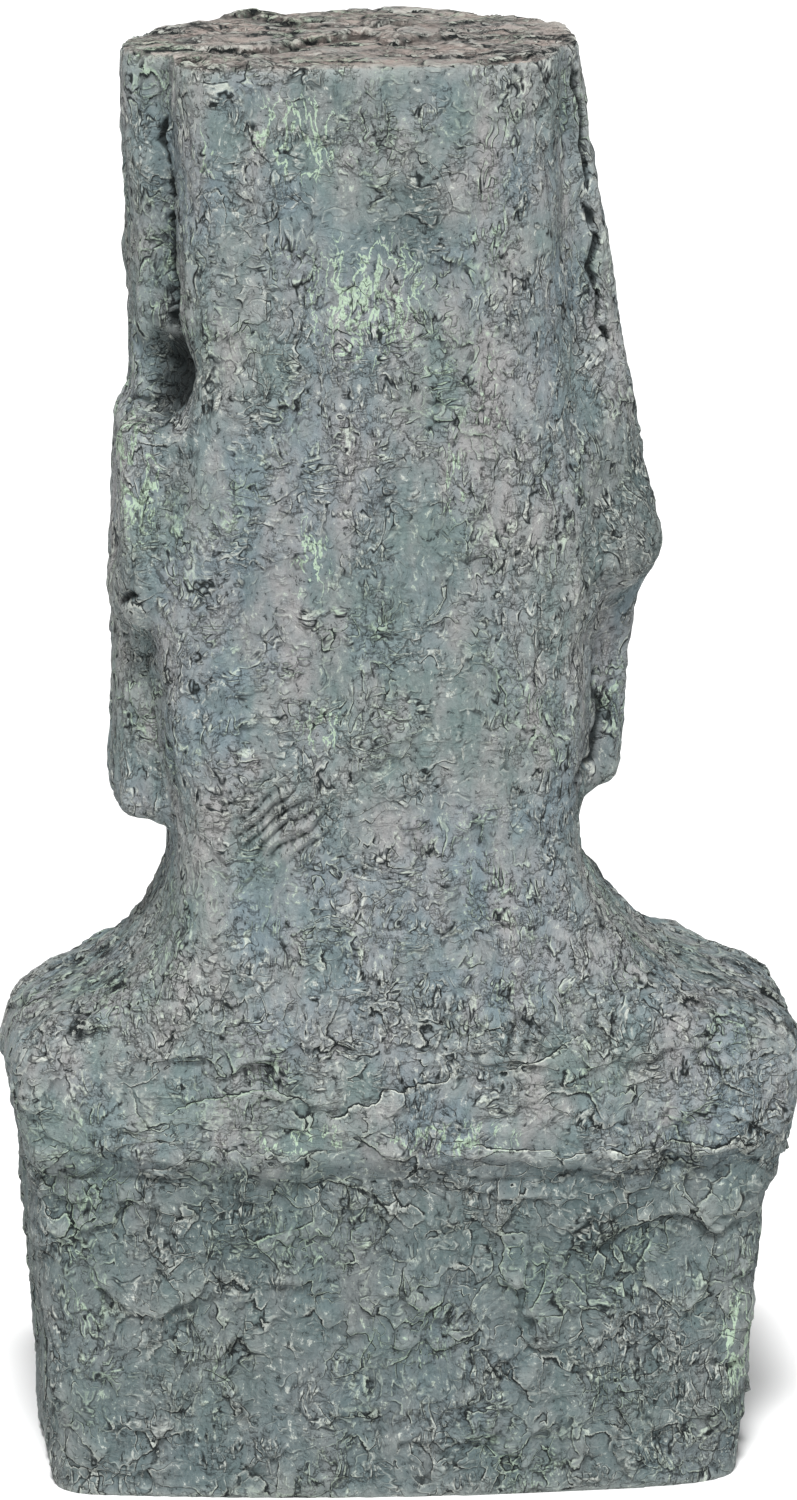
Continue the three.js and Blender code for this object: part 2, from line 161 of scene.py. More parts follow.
def scrambled(cell, salt):
    """A repeatable whole number for each row of whole-number cells."""
    c = cell.astype(np.int64).astype(np.uint32)
    h = c[:, 0] * np.uint32(0x8DA6B343) ^ c[:, 1] * np.uint32(0xD8163841)
    h ^= c[:, 2] * np.uint32(0xCB1AB31F)
    h ^= np.uint32((salt * 0x9E3779B1) & 0xFFFFFFFF)
    for shift, factor in ((16, 0x7FEB352D), (15, 0x846CA68B)):
        h ^= h >> np.uint32(shift)
        h *= np.uint32(factor)
    return h ^ (h >> np.uint32(16))


def smooth(x, low, high):
    """0 up to `low` and 1 from `high` on, with an eased climb between."""
    t = np.clip((x - low) / (high - low), 0, 1)
    return t * t * (3 - 2 * t)


def noise(points, size, salt):
    """Gradient noise, about -1 to 1, with features about `size` across."""
    p = points / size
    base = np.floor(p)
    f = p - base
    u = f * f * f * (f * (f * 6 - 15) + 10)
    total = np.zeros(len(p))
    for i in (0, 1):
        for j in (0, 1):
            for k in (0, 1):
                slope = GRADIENTS[scrambled(base + (i, j, k), salt) & 255]
                value = ((f - (i, j, k)) * slope).sum(1)
                for axis, side in enumerate((i, j, k)):
                    value = value * (u[:, axis] if side else 1 - u[:, axis])
                total += value
    return total * 1.8


def layered(points, size, salt, octaves):
    """Several octaves of noise, each half as strong as the one before."""
    return sum(0.5**i * noise(points, size / 2**i, salt + 11 * i) for i in range(octaves))


def warped(points, size, amount, salt):
    """The points, pushed about by up to about `amount`."""
    shift = np.stack([noise(points, size, salt + 3 * i) for i in range(3)], 1)
    return points + shift * amount


class Cells:
    """The irregular cells that the points fall in, about `size` across, and the next to each."""

    def __init__(self, points, size, salt, stretch):
        p = points / (size * np.array(stretch, float))
        base = np.floor(p)
        count = len(p)
        self.salt = salt
        self.size = size
        self.near, self.next = np.full(count, 1e9), np.full(count, 1e9)
        self.cell, self.other = np.zeros_like(p), np.zeros_like(p)
        self.offset, self.other_offset = np.zeros_like(p), np.zeros_like(p)
        for step in np.ndindex(3, 3, 3):
            cell = base + step - 1
            shift = scrambled(cell, salt)
            jitter = np.stack([(shift >> np.uint32(s)) & 255 for s in (0, 8, 16)], 1) / 255 - 0.5
            offset = p - cell - 0.5 - 0.85 * jitter
            gap = np.sqrt((offset * offset).sum(1))
            first = gap < self.near
            second = ~first & (gap < self.next)
            self.next[first] = self.near[first]
            self.other[first], self.other_offset[first] = self.cell[first], self.offset[first]
            self.near[first], self.cell[first] = gap[first], cell[first]
            self.offset[first] = offset[first]
            self.next[second], self.other[second] = gap[second], cell[second]
            self.other_offset[second] = offset[second]

    def level(self, cell, offset, tilt, lean, step):
        """Height of each point on its cell's own sloping face."""
        slope = GRADIENTS[scrambled(cell, self.salt + 60) & 255] * tilt + np.array(lean, float)
        rank = (scrambled(cell, self.salt + 70) & 1023) / 511.5 - 1
        return (slope * offset).sum(1) + step * rank

    def chips(self, tilt, lean, step, band):
        """Flat chips with sides `band` wide: height, signed distance to the edge, and the drop.

        The distance is positive on the higher chip and negative on the lower one.
        """
        own = self.level(self.cell, self.offset, tilt, lean, step)
        beyond = self.level(self.other, self.other_offset, tilt, lean, step)
        gap = (self.next - self.near) * self.size
        inside = 0.5 + 0.5 * smooth(gap, 0, band)
        drop = own - beyond
        return beyond + drop * inside, gap * np.sign(drop), np.abs(drop)


# ---------------------------------------------------------------- the casting's surface
def bake_modifiers(piece):
    """Replaces the piece's mesh with the result of its modifiers."""
    graph = bpy.context.evaluated_depsgraph_get()
    old = piece.data
    piece.data = bpy.data.meshes.new_from_object(piece.evaluated_get(graph))
    piece.modifiers.clear()
    bpy.data.meshes.remove(old)


def dense_copy(name, node):
    """A finely meshed copy of a CAD node's solid."""
    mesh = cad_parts[node].data.copy()
    piece = bpy.data.objects.new(name, mesh)
    bpy.context.scene.collection.objects.link(piece)
    remesh = piece.modifiers.new("remesh", "REMESH")
    remesh.mode = "VOXEL"
    remesh.voxel_size = VOXEL * MM
    bake_modifiers(piece)
    return piece


def read(collection, key, width):
    """A mesh property as an array with one row for each item."""
    flat = np.empty(len(collection) * width, np.float32 if width == 3 else np.int32)
    collection.foreach_get(key, flat)
    return flat.reshape(-1, width)


def neighbour_mean(values, edges, degree):
    """Each vertex's mean over its neighbours."""
    count = len(degree)
    out = np.empty_like(values)
    for axis in range(values.shape[1]):
        column = values[:, axis]
        out[:, axis] = np.bincount(edges[:, 0], column[edges[:, 1]], count)
        out[:, axis] += np.bincount(edges[:, 1], column[edges[:, 0]], count)
    return out / degree[:, None]


def relax(points, edges, degree, rounds):
    """Evens out facets without shrinking the form; the underside stays flat."""
    low = points[:, 2] < UNDERSIDE
    for i in range(rounds * 2):
        strength = 0.62 if i % 2 == 0 else -0.64
        points = points + strength * (neighbour_mean(points, edges, degree) - points)
        points[low, 2] = 0
    return points


# ---------------------------------------------------------------- relief, in mm along the normal
def spot(p, centre, reach):
    """1 at a place, fading to 0 at `reach` (a number, or one for each axis)."""
    d = (p - np.array(centre, float)) / np.array(reach, float)
    return 1 - smooth(np.sqrt((d * d).sum(1)), 0.3, 1.0)


def nearest(p, path):
    """Distance to a path of points."""
    best = np.full(len(p), 1e9)
    for a, b in zip(path, path[1:]):
        a, b = np.array(a, float), np.array(b, float)
        span = b - a
        t = np.clip(((p - a) @ span) / (span @ span), 0, 1)
        best = np.minimum(best, np.sqrt((((p - a) - t[:, None] * span) ** 2).sum(1)))
    return best


def along(p, path, width):
    """1 on a path, fading to 0 at `width` to each side."""
    return 1 - smooth(nearest(p, path), width * 0.2, width)


def chipped(p, kind, regions):
    """Chips whose grain differs from place to place; each region is (weight, stretch, lean)."""
    size, salt = kind.size, kind.salt
    best = np.full(len(p), -1e9)
    out = [np.zeros(len(p)) for _ in range(3)]
    for i, (weight, stretch, lean) in enumerate(regions):
        here = weight + 0.25 * noise(p, 14, salt + 7 * i)
        mine = (here > best) & (weight > 0.02)
        best = np.where(mine, here, best)
        q = p[mine]
        q = warped(q, size * 1.3, size * 0.32, salt + 500 + 31 * i)
        q = warped(q, size * 0.4, size * 0.11, salt + 600 + 31 * i)
        cells = Cells(q, size, salt + 101 * i, stretch)
        for whole, part in zip(out, cells.chips(kind.tilt, lean, kind.step, kind.bevel)):
            whole[mine] = part
    return out


class Zones:
    """How far each point belongs to each zone of the statue, from 0 to 1."""

    def __init__(self, p, n):
        x, y, z = p.T
        self.lower = 1 - smooth(z, LEDGE_Z - 10, LEDGE_Z + 6)
        self.torso = 1 - smooth(z, SHOULDER_Z + 4, SHOULDER_Z + 36)
        self.front = smooth(-y, 5, 35)
        self.crown = smooth(n[:, 2], 0.6, 0.85) * smooth(z, HEIGHT - 14, HEIGHT - 4)
        self.top = smooth(n[:, 2], 0.4, 0.8)
        self.side = smooth(np.abs(n[:, 0]), 0.35, 0.75) * (1 - self.torso)
        self.ledge = self.torso * (1 - smooth(np.abs(z - LEDGE_Z), 4, 16))
        right = smooth(-x, 12, 45) * (1 - self.torso)
        band = self.torso * smooth(z, LEDGE_Z - 16, LEDGE_Z - 4)
        band *= 1 - smooth(z, LEDGE_Z + 28, LEDGE_Z + 44)
        self.upright = np.clip(self.side + 0.8 * right, 0, 1) * (1 - self.crown)
        self.flat = np.clip(band + self.crown, 0, 1)
        self.plain = np.clip(1 - self.upright - self.flat, 0, 1)


def aslant(p):
    """The points, sheared where the grain runs aslant, and how much each of them belongs there."""
    slanted, streaked = p.copy(), np.zeros(len(p))
    for centre, reach, slope in SLANTS:
        here = spot(p, centre, reach)
        slanted[:, 0] += slope * here * (p[:, 2] - centre[2])
        streaked = np.maximum(streaked, here)
    return slanted, streaked


def grooves(p, ragged):
    """How deep the grooves are at each point, from 0 to 1."""
    gaps = smooth(noise(p, 22, Salt.GROOVE_GAPS), -0.6, 0.1)
    depth = 0.9 * along(ragged, LEFT_GROOVE, 2.0) * gaps
    for path, width, share in NARROW_GROOVES:
        depth = np.maximum(depth, share * along(ragged, path, width))
    return depth


def scratches(here, run, spacing, middle, darkness):
    """Side-by-side scratches: their height, and the dark lines at their bottoms, which are painted
    shade.
    """
    stripe = np.abs(((run / spacing) % 1) * 2 - 1)
    return here * (stripe - middle), here * (1 - smooth(stripe, 0.0, darkness))


def relief(p, n):
    """The chipped surface: its height and the layers and marks that the paint and the painted
    shade follow.
    """
    x, y, z = p.T
    zone = Zones(p, n)
    slanted, streaked = aslant(p)

    regions = [
        (zone.plain, (1, 1, 1.25), (0, 0, -0.7)),
        (zone.upright, (0.8, 0.8, 2.1), (-0.3, 0, -0.3)),
        (zone.flat, (2.3, 1.5, 0.9), (0, 0.6, -0.9)),
    ]
    big, big_edge, big_drop = chipped(slanted, BIG_CHIPS, regions)
    mid, mid_edge, mid_drop = chipped(slanted, SMALL_CHIPS, regions)
    big_place = layered(p, 40, Salt.BIG_PLACE, 2) + 0.25 * zone.torso + 0.5 * zone.crown - 0.1
    mid_place = layered(p, 26, Salt.MID_PLACE, 2)
    mid_place = mid_place + 0.15 * zone.lower + 0.35 * zone.side + 0.5 * zone.top
    big_size = (0.45 + 0.3 * zone.torso + 0.4 * zone.lower + 0.9 * zone.crown) * smooth(
        big_place, -0.3, 0.4
    )
    big_size = big_size * (1 - 0.3 * zone.front)
    mid_size = (0.5 + 0.4 * zone.lower + 0.2 * zone.torso + 0.2 * zone.top) * smooth(
        mid_place, -0.4, 0.3
    )
    mid_size = mid_size * (1 - 0.25 * zone.front)

    height = 0.9 * noise(p, 70, Salt.SWELL) + 0.6 * layered(p, 28, Salt.BUMPS, 2)
    height += big_size * big * 1.25
    height += mid_size * mid
    grained = warped(p, 9, 3.0, Salt.CREASE_BEND) / np.array([0.8, 0.8, 1.5])
    crease = 1 - np.abs(noise(grained, 7.5, Salt.CREASE)) * 2
    crease_place = 0.3 + 0.7 * smooth(noise(p, 18, Salt.CREASE_PLACE), -0.3, 0.4)
    fluted = warped(slanted, 30, 4, Salt.FLUTE_BEND) / np.array([1, 1, 5.0])
    flute_place = np.maximum(
        (0.6 + 0.4 * zone.side) * zone.upright, 0.9 * streaked * (1 - zone.torso)
    )
    height += noise(fluted, 5.5, Salt.FLUTES) * flute_place
    height += CREASE_DEPTH * crease * crease_place * (1 - 0.3 * zone.front)
    height += GRIT_DEPTH * layered(p, 4.6, Salt.GRIT, 2)

    ragged = warped(warped(p, 13, 3.0, Salt.RAG), 4.5, 1.3, Salt.FINE_RAG)
    groove = grooves(p, ragged)
    height -= GROOVE_DEPTH * groove
    height += FAINT_GROOVE_FILL * along(ragged, FAINT_GROOVE, 11)

    crack_edge, crack_drop = np.full(len(p), -50.0), np.zeros(len(p))
    torn = warped(ragged, 3.5, 1.0, Salt.TORN)
    for path, depth in BACK_CRACKS:
        gap = nearest(torn, path)
        lip = depth * (1 - smooth(gap, 2, 12))
        side_of = np.sign(np.interp(torn[:, 0], *profile(path)) - torn[:, 2])
        height += CRACK_LIP * lip * side_of * smooth(gap, 0, 0.9)
        crack_edge = np.where(lip > crack_drop, gap * side_of, crack_edge)
        crack_drop = np.maximum(crack_drop, lip)

    height += LEDGE_ROUGHNESS * zone.ledge * layered(p, 16, Salt.LEDGE, 2)
    height += VALLEY_FILL * along(ragged, RIGHT_VALLEY, 12)
    hollow = spot(p, HOLLOW, HOLLOW_REACH)
    height -= (HOLLOW_DEPTH + 1.5 * layered(p, 7, Salt.HOLLOW, 2)) * hollow

    run = (x * 0.62 + z * 0.78) + 3.0 * noise(p, 22, Salt.GOUGES)
    run = run + 1.6 * noise(p, 9, Salt.GOUGE_SHAKE)
    comb, comb_dark = scratches(spot(p, GOUGES, GOUGES_REACH), run, GOUGE_SPACING, 0.5, 0.3)
    height += comb * GOUGE_DEPTH
    run = (x * 0.9 + z * 0.35) + 2.5 * noise(p, 14, Salt.BURST)
    burst, burst_dark = scratches(spot(p, BURST, BURST_REACH), run, BURST_SPACING, 0.6, 0.25)
    height += burst * BURST_DEPTH
    # the gouge bottoms join the grooves, which the paint darkens as painted shade
    groove = np.maximum(groove, np.maximum(comb_dark * 0.6, burst_dark * 0.7))

    height *= smooth(z, 0.4, CALM_BAND)
    mint, pale, dark = (
        sum(weight * spot(p, centre, reach) for centre, reach, weight in patches)
        for patches in (MINT_PATCHES, PALE_PATCHES, SHADE_AND_DARK_PATCHES)
    )
    seen_flat = 1 + 2.0 * zone.top
    marks = {
        "big_edge": big_edge / seen_flat,
        "big_drop": big_drop * big_size,
        "mid_edge": mid_edge / seen_flat,
        "drift": warped(slanted, 10, 2.4, Salt.DRIFT) * MM,
        "mid_drop": mid_drop * mid_size,
        "upright": np.clip(zone.upright + 0.35 * noise(p, 30, Salt.UPRIGHT), 0, 1),
        "crown": zone.crown,
        "crack_edge": crack_edge,
        "crack_drop": crack_drop,
        # grooves, gouge bottoms and the hollow, darkened in the paint as painted shade
        "groove": np.maximum(groove, 0.7 * hollow),
        "mint": np.clip(mint, 0, 1),
        "pale": np.clip(pale, 0, 1),
        # the dark patches, mostly painted shade
        "dark": np.clip(dark, 0, 1),
        "lower": zone.lower,
    }
    return height, marks


def profile(path):
    """A path's x and z for interpolation, with x rising."""
    ordered = sorted(path)
    return [q[0] for q in ordered], [q[2] for q in ordered]


def exposure(points, normals, edges, degree, rounds):
    """How far each vertex stands above its surroundings, in millimetres; crevices are negative."""
    average = points
    for _ in range(rounds):
        average = neighbour_mean(average, edges, degree)
    return ((points - average) * normals).sum(1)


def place(mesh, points):
    """Moves the mesh's vertices to the points, which are in millimetres."""
    mesh.vertices.foreach_set("co", (points * MM).astype(np.float32).ravel())
    mesh.update()


def weathered_casting():
    """The whole casting as one mesh, with what the paint needs to know stored on its vertices."""
    piece = dense_copy("moai_bust_weathered", "moai_bust")
    mesh = piece.data
    edges = read(mesh.edges, "vertices", 2)
    degree = np.bincount(edges.ravel(), minlength=len(mesh.vertices)).astype(float)
    points = read(mesh.vertices, "co", 3).astype(float) / MM
    points = relax(points, edges, degree, SMOOTHING_ROUNDS)
    place(mesh, points)
    normals = read(mesh.vertex_normals, "vector", 3).astype(float)
    height, marks = relief(points, normals)
    normals[points[:, 2] < UNDERSIDE] = 0
    points = points + normals * height[:, None]
    place(mesh, points)
    normals = read(mesh.vertex_normals, "vector", 3).astype(float)
    marks["fine_exposure"] = exposure(points, normals, edges, degree, 3)
    marks["broad_exposure"] = exposure(points, normals, edges, degree, 24)
    for name, values in marks.items():
        kind, key = ("FLOAT_VECTOR", "vector") if values.ndim == 2 else ("FLOAT", "value")
        layer = mesh.attributes.new(name, kind, "POINT")
        layer.data.foreach_set(key, values.astype(np.float32).ravel())
    thin = piece.modifiers.new("thin", "DECIMATE")
    thin.ratio = min(1, TRIANGLE_LIMIT / (2 * len(mesh.polygons)))
    thin.use_collapse_triangulate = True
    bake_modifiers(piece)
    piece.data.shade_smooth()
    piece.data.set_sharp_from_angle(angle=SHARP_ANGLE)
    return piece


# ---------------------------------------------------------------- material
class Graph:
    """Short calls for building a node tree."""

    def __init__(self, name):
        self.material = bpy.data.materials.new(name)
        self.material.use_nodes = True
        self.tree = self.material.node_tree
        self.tree.nodes.clear()

    def node(self, kind, inputs=None, **settings):
        made = self.tree.nodes.new(kind)
        for key, value in settings.items():
            setattr(made, key, value)
        for key, value in (inputs or {}).items():
            self.put(made.inputs[key], value)
        return made

    def put(self, socket, value):
        if isinstance(value, bpy.types.NodeSocket):
            self.tree.links.new(value, socket)
        else:
            socket.default_value = value

    def math(self, operation, a, b=0.0, c=0.0):
        return self.node("ShaderNodeMath", {0: a, 1: b, 2: c}, operation=operation).outputs[0]

    def product(self, *values):
        total = values[0]
        for value in values[1:]:
            total = self.math("MULTIPLY", total, value)
        return total

    def total(self, *values):
        total = values[0]
        for value in values[1:]:
            total = self.math("ADD", total, value)
        return total

    def strongest(self, *values):
        top = values[0]
        for value in values[1:]:
            top = self.math("MAXIMUM", top, value)
        return top

    def vector(self, operation, a, b, c=(0, 0, 0)):
        made = self.node("ShaderNodeVectorMath", {0: a, 1: b, 2: c}, operation=operation)
        return made.outputs["Vector"]

    def remap(self, value, low, high, to_low=0.0, to_high=1.0, smooth_ends=False):
        """`to_low` at `low` and `to_high` at `high`, and held beyond them."""
        ends = {"From Min": low, "From Max": high, "To Min": to_low, "To Max": to_high}
        kind = "SMOOTHSTEP" if smooth_ends else "LINEAR"
        made = self.node("ShaderNodeMapRange", {"Value": value, **ends}, interpolation_type=kind)
        return made.outputs["Result"]

    def mix(self, factor, a, b):
        """A colour between `a` and `b`."""
        made = self.node("ShaderNodeMix", {0: factor, 6: a, 7: b}, data_type="RGBA")
        return made.outputs[2]

    def mix_value(self, factor, a, b):
        """A number between `a` and `b`."""
        made = self.node("ShaderNodeMix", {0: factor, 2: a, 3: b})
        return made.outputs[0]

    def attribute(self, name):
        return self.node("ShaderNodeAttribute", attribute_name=name).outputs["Fac"]

    def noise(self, where, size, detail=4.0, roughness=0.6, output="Fac"):
        """Noise with features about `size` metres across."""
        made = self.node(
            "ShaderNodeTexNoise",
            {"Vector": where, "Scale": 1 / size, "Detail": detail, "Roughness": roughness},
        )
        return made.outputs[output]

    def warp(self, where, size, amount):
        """Coordinates pushed about by up to about `amount` metres."""
        push = self.noise(where, size, 0, 0.5, "Color")
        centred = self.vector("SUBTRACT", push, (0.5, 0.5, 0.5))
        return self.vector("MULTIPLY_ADD", centred, (amount * 2,) * 3, where)

    def terraces(self, value, steps, rise):
        """Broken layers along the contours of `value`: their height, rims and dark feet."""
        level = self.math("MULTIPLY", value, steps)
        part = self.math("FRACT", level)
        climb = self.remap(part, 0, rise, 0, 1, True)
        stairs = self.math("ADD", self.math("FLOOR", level), climb)
        rim = self.product(self.remap(part, rise * 0.3, rise), self.remap(part, rise * 2.2, rise))
        before, after = 1 - rise * 1.3, rise * 0.3
        foot = self.strongest(self.remap(part, before, 1 - after), self.remap(part, after, 0))
        return self.math("DIVIDE", stairs, steps), rim, foot

    def rim(self, edge, near, far):
        """1 just above a chip's edge, fading out by `far`."""
        return self.product(self.remap(edge, 0, near), self.remap(edge, far, near))

    def foot(self, edge, near, far):
        """1 just below a chip's edge, fading out by `far`."""
        return self.product(self.remap(edge, near * 0.4, 0), self.remap(edge, -far, -near))

    def line(self, value, centre, width):
        """1 where `value` is at `centre`, fading out at `width` either side: wandering lines."""
        gap = self.math("ABSOLUTE", self.math("SUBTRACT", value, centre))
        return self.remap(gap, width, 0)

    def finish(self, shader):
        """Makes the shader the material's surface."""
        out = self.node("ShaderNodeOutputMaterial")
        self.put(out.inputs["Surface"], shader.outputs["BSDF"])


def srgb(r, g, b):
    """A colour as the shader wants it, from the 0-255 values of a paint chart."""

    def linear(v):
        v /= 255
        return v / 12.92 if v <= 0.04045 else ((v + 0.055) / 1.055) ** 2.4

    return (linear(r), linear(g), linear(b), 1.0)


SLATE = srgb(114, 130, 129)
SLATE_BLUE = srgb(116, 131, 137)
MAUVE = srgb(157, 154, 153)
PALE = srgb(206, 209, 202)
MINT = srgb(178, 200, 176)
DEEP_SLATE = srgb(96, 113, 110)
DARK = srgb(84, 99, 100)
WASH_AND_SHADE = srgb(28, 36, 37)
# dark wash, also used as painted shade in crevices, recesses, grooves and the hollow
EARTH = srgb(169, 155, 147)

# sizes of the paint's patterns, in metres
GRAIN_SIZE = 0.0024
TORN_SIZE = 0.010
TORN_LAYERS, TORN_RISE = 7, 0.13  # layers over the whole range, and the part of each that climbs
PATCH_SIZE = 0.015
DRIP_SIZE = 0.009
BUMP_DEPTH = 0.0015


PAINT_MARKS = (
    "big_edge", "big_drop", "mid_edge", "mid_drop", "crack_edge", "crack_drop", "groove",
    "mint", "pale", "dark", "lower", "crown", "fine_exposure", "broad_exposure", "upright",
)


def stone_finish():
    """Cast stone paint: a slate body, pale dry-brushed rims that are also painted highlights, a
    dark wash that is also painted shade in crevices, grooves and the hollow, patches of painted
    shade, and green drips.
    """
    g = Graph("weathered_stone_finish")
    where = g.node("ShaderNodeTexCoord").outputs["Object"]
    mark = {name: g.attribute(name) for name in PAINT_MARKS}
    lower, crown, mint = mark["lower"], mark["crown"], mark["mint"]
    broad_up = mark["broad_exposure"]

    # coordinates that follow the grain
    drift = g.node("ShaderNodeAttribute", attribute_name="drift").outputs["Vector"]
    bent = g.warp(drift, 0.004, 0.0005)
    upright = g.vector("MULTIPLY", bent, (0.95, 1.2, 0.6))
    along_z = g.vector("MULTIPLY", bent, (1.9, 1.5, 0.30))
    along_x = g.vector("MULTIPLY", bent, (0.34, 1.0, 1.9))
    sway = g.remap(g.total(mark["upright"], g.noise(where, 0.022, 1)), 0.52, 0.58)

    # the grain, which also makes every edge ragged
    grain = g.noise(upright, GRAIN_SIZE, 5, 0.75)
    rag = g.math("SUBTRACT", grain, 0.5)
    big_edge = g.math("MULTIPLY_ADD", rag, 2.4, mark["big_edge"])
    mid_edge = g.math("MULTIPLY_ADD", rag, 2.0, mark["mid_edge"])
    crack_edge = g.math("MULTIPLY_ADD", rag, 1.6, mark["crack_edge"])

    # torn layers and cut strokes, which run down the ears and across the rest
    torn_field = g.mix_value(
        sway, g.noise(along_x, TORN_SIZE, 2, 0.55), g.noise(along_z, TORN_SIZE, 2, 0.55)
    )
    torn, torn_rim, torn_foot = g.terraces(torn_field, TORN_LAYERS, TORN_RISE)
    cut_field = g.mix_value(
        sway,
        g.noise(g.vector("MULTIPLY", bent, (0.7, 1.2, 1.5)), 0.016, 3, 0.5),
        g.noise(g.vector("MULTIPLY", bent, (1.6, 1.2, 0.5)), 0.014, 3, 0.5),
    )
    cut = g.math("SUBTRACT", cut_field, 0.5)

    # where the surface is busy, and where it is calm
    restless = g.math("MULTIPLY_ADD", mark["upright"], 0.11, g.noise(where, 0.021, 3, 0.6))
    busy = g.remap(g.math("MULTIPLY_ADD", lower, -0.05, restless), 0.45, 0.54, 0.1, 1)
    torn_place = g.product(g.remap(g.noise(where, 0.006, 3), 0.46, 0.58), busy)
    cut_place = g.remap(g.noise(where, 0.007, 2), 0.50, 0.55)
    cut_place = g.product(cut_place, g.remap(busy, 0.1, 1, 0.4, 1))
    breaks = g.remap(g.noise(where, 0.008, 2), 0.38, 0.54)
    big_mark = g.product(g.remap(mark["big_drop"], 0.15, 0.5), breaks)
    mid_mark = g.product(g.remap(mark["mid_drop"], 0.12, 0.45), breaks)

    height = g.total(
        g.product(g.remap(big_edge, -0.5, 0.3, smooth_ends=True), mark["big_drop"], 0.7),
        g.product(g.remap(mid_edge, -0.4, 0.3, smooth_ends=True), mark["mid_drop"], 0.7),
        g.product(torn, 4.5, g.math("MULTIPLY_ADD", torn_place, 0.8, 0.2)),
        g.product(grain, 0.9),
        g.product(g.remap(cut, -0.012, 0.008, smooth_ends=True), cut_place, 0.7),
    )
    # rims: pale dry-brushed edges on the higher side of each step, lip and cut, which are also
    # painted highlights
    rims = g.strongest(
        g.product(g.rim(crack_edge, 0.2, 1.2), mark["crack_drop"], 1.3),
        g.product(g.rim(big_edge, 0.2, 0.8), big_mark),
        g.product(g.rim(mid_edge, 0.15, 0.6), mid_mark, 0.9),
        g.product(torn_rim, torn_place),
        g.product(g.line(cut, 0.022, 0.018), cut_place),
        g.remap(grain, 0.60, 0.64, 0, 0.75),
    )
    # feet: dark wash and painted shadow just below each step, lip and cut
    feet = g.strongest(
        g.product(g.foot(crack_edge, 0.4, 0.9), mark["crack_drop"], 1.5),
        g.product(g.foot(big_edge, 0.3, 0.8), big_mark),
        g.product(g.foot(mid_edge, 0.25, 0.65), mid_mark),
        g.product(torn_foot, torn_place),
        g.product(g.line(cut, -0.012, 0.020), cut_place, 1.3),
        g.remap(grain, 0.395, 0.36, 0, 0.8),
    )

    # body colours, in patches drawn out downwards
    patches = g.noise(g.vector("MULTIPLY", where, (1, 1, 0.42)), PATCH_SIZE, 5, 0.6)
    colour = g.mix(g.remap(g.noise(where, 0.045, 1), 0.4, 0.62), SLATE, SLATE_BLUE)
    colour = g.mix(g.remap(busy, 0.5, 0.12, 0, 0.35), colour, DEEP_SLATE)
    smears = g.math("MULTIPLY_ADD", mark["pale"], 0.16, patches)
    colour = g.mix(g.remap(smears, 0.42, 0.68, 0, 0.78), colour, MAUVE)
    # painted shade: the dark patches, and below the ledge partly darker paint, partly painted
    # shade, mixed towards DARK
    shade = g.product(mark["dark"], g.remap(patches, 0.35, 0.6, 1.0, 0.55))
    shade = g.math("MULTIPLY_ADD", lower, 0.62, shade)
    colour = g.mix(g.math("MINIMUM", shade, 1.0), colour, DARK)
    colour = g.mix(g.product(crown, g.remap(patches, 0.35, 0.6, 0.5, 0.95)), colour, EARTH)

    # dry brushing on what stands out; the pale rims on the higher side of each step are also
    # painted highlights
    tone = g.math("MULTIPLY_ADD", grain, 3.0, -1.5)
    colour = g.mix(g.remap(tone, 0.1, -0.6, 0, 0.2), colour, WASH_AND_SHADE)
    colour = g.mix(g.remap(tone, 0.0, 0.6, 0, 0.15), colour, PALE)
    colour = g.mix(g.remap(broad_up, 0.1, 1.4, 0, 0.25), colour, PALE)
    rim_colour = g.mix(g.remap(g.noise(where, 0.033, 1), 0.45, 0.65, 0.1, 1), PALE, MINT)
    colour = g.mix(g.product(rims, 0.88), colour, rim_colour)

    # green drips
    drips = g.noise(g.vector("MULTIPLY", bent, (1.35, 1.2, 0.5)), DRIP_SIZE, 4, 0.6)
    drips = g.line(drips, 0.5, g.product(mint, 0.040))
    colour = g.mix(g.product(g.remap(drips, 0, 0.3), g.remap(mint, 0.02, 0.2), 0.9), colour, MINT)

    # the dark wash in what lies deep, which is also painted shade in the crevices, broad recesses,
    # grooves, gouge bottoms and the hollow
    deep = g.remap(mark["fine_exposure"], -0.08, -0.6, 0, 0.35)
    deeper = g.remap(broad_up, -0.8, -2.2, 0, 0.6)
    colour = g.mix(g.math("MAXIMUM", deep, deeper), colour, WASH_AND_SHADE)
    # painted shadow and wash below each step
    colour = g.mix(feet, colour, WASH_AND_SHADE)
    groove = g.math("MULTIPLY_ADD", rag, 0.9, mark["groove"])
    colour = g.mix(g.remap(groove, 0.15, 0.5, 0, 0.9), colour, WASH_AND_SHADE)

    bump = g.node("ShaderNodeBump", {"Strength": 1.0, "Distance": BUMP_DEPTH, "Height": height})
    shader = g.node(
        "ShaderNodeBsdfPrincipled",
        {
            "Base Color": colour,
            "Roughness": g.remap(tone, -0.6, 0.6, 0.95, 0.72),
            "Normal": bump.outputs["Normal"],
        },
    )
    shader.inputs["Specular IOR Level"].default_value = 0.35
    g.finish(shader)
    return g.material


# ---------------------------------------------------------------- the piece
casting = weathered_casting()
casting.data.materials.clear()
casting.data.materials.append(stone_finish())
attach(casting, "root")
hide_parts("moai_bust")

# ---------------------------------------------------------------- studio
CAMERA_YAW = math.radians(6.15)
CAMERA_RISE = math.radians(15.23)
CAMERA_DISTANCE = 2.768
CAMERA_TARGET = Vector((0, 0.0145, 0.251))
CAMERA_ROLL = math.radians(0.37)
SENSOR = 36.0
LENS = 192.9
FLOOR_HALF = 12.0
FLOOR_GREY = (0.9, 0.9, 0.9, 1)
SKY_STRENGTH = 0.22


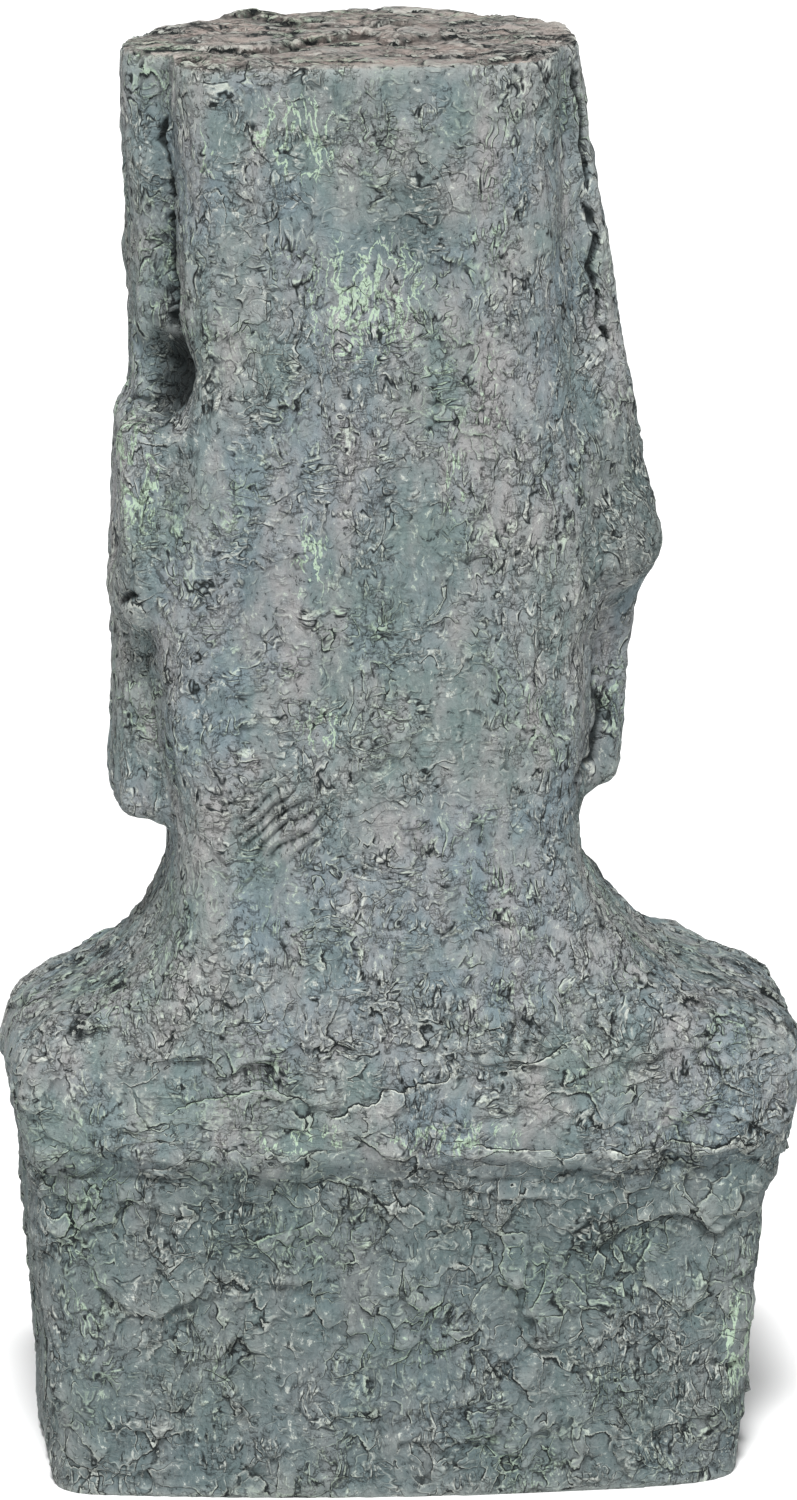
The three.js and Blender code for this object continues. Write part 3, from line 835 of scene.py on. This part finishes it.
def add_camera():
    """The photograph's view: from behind, a little from the figure's left and from above."""
    back = Vector(
        (
            math.sin(CAMERA_YAW) * math.cos(CAMERA_RISE),
            math.cos(CAMERA_YAW) * math.cos(CAMERA_RISE),
            math.sin(CAMERA_RISE),
        )
    )
    data = bpy.data.cameras.new("camera")
    data.sensor_width = SENSOR
    data.lens = LENS
    data.clip_start, data.clip_end = 0.1, 50
    camera = bpy.data.objects.new("camera", data)
    bpy.context.scene.collection.objects.link(camera)
    turn = (-back).to_track_quat("-Z", "Y").to_matrix().to_4x4()
    camera.matrix_world = (
        Matrix.Translation(CAMERA_TARGET + back * CAMERA_DISTANCE)
        @ turn
        @ Matrix.Rotation(-CAMERA_ROLL, 4, "Z")
    )
    bpy.context.scene.camera = camera


def add_sun(name, place, strength, spread):
    """Even light from the direction of `place`, with shadows as soft as `spread` degrees."""
    data = bpy.data.lights.new(name, "SUN")
    data.energy = strength
    data.angle = math.radians(spread)
    light = bpy.data.objects.new(name, data)
    bpy.context.scene.collection.objects.link(light)
    light.rotation_mode = "QUATERNION"
    light.rotation_quaternion = (-Vector(place)).to_track_quat("-Z", "Y")


def add_floor():
    """A pale floor that reaches well past the picture."""
    mesh = bpy.data.meshes.new("floor")
    half = FLOOR_HALF
    corners = [(-half, -half, 0), (half, -half, 0), (half, half, 0), (-half, half, 0)]
    mesh.from_pydata(corners, [], [(0, 1, 2, 3)])
    floor = bpy.data.objects.new("floor", mesh)
    bpy.context.scene.collection.objects.link(floor)
    g = Graph("floor_paint")
    g.finish(g.node("ShaderNodeBsdfPrincipled", {"Base Color": FLOOR_GREY, "Roughness": 0.9}))
    mesh.materials.append(g.material)


def add_sky():
    """Even white light from all round."""
    world = bpy.data.worlds.new("studio")
    bpy.context.scene.world = world
    world.use_nodes = True
    background = world.node_tree.nodes["Background"]
    background.inputs["Color"].default_value = (1, 1, 1, 1)
    background.inputs["Strength"].default_value = SKY_STRENGTH


add_camera()
add_sun("key", (0.11, 1.0, 1.75), 3.95, 12)
add_sun("fill", (-0.2, 1.0, 0.25), 0.45, 40)
add_sun("front", (0.3, -1.0, 0.9), 0.9, 40)
add_floor()
add_sky()
bpy.context.scene.view_settings.view_transform = "Standard"
bpy.context.scene.view_settings.look = "None"
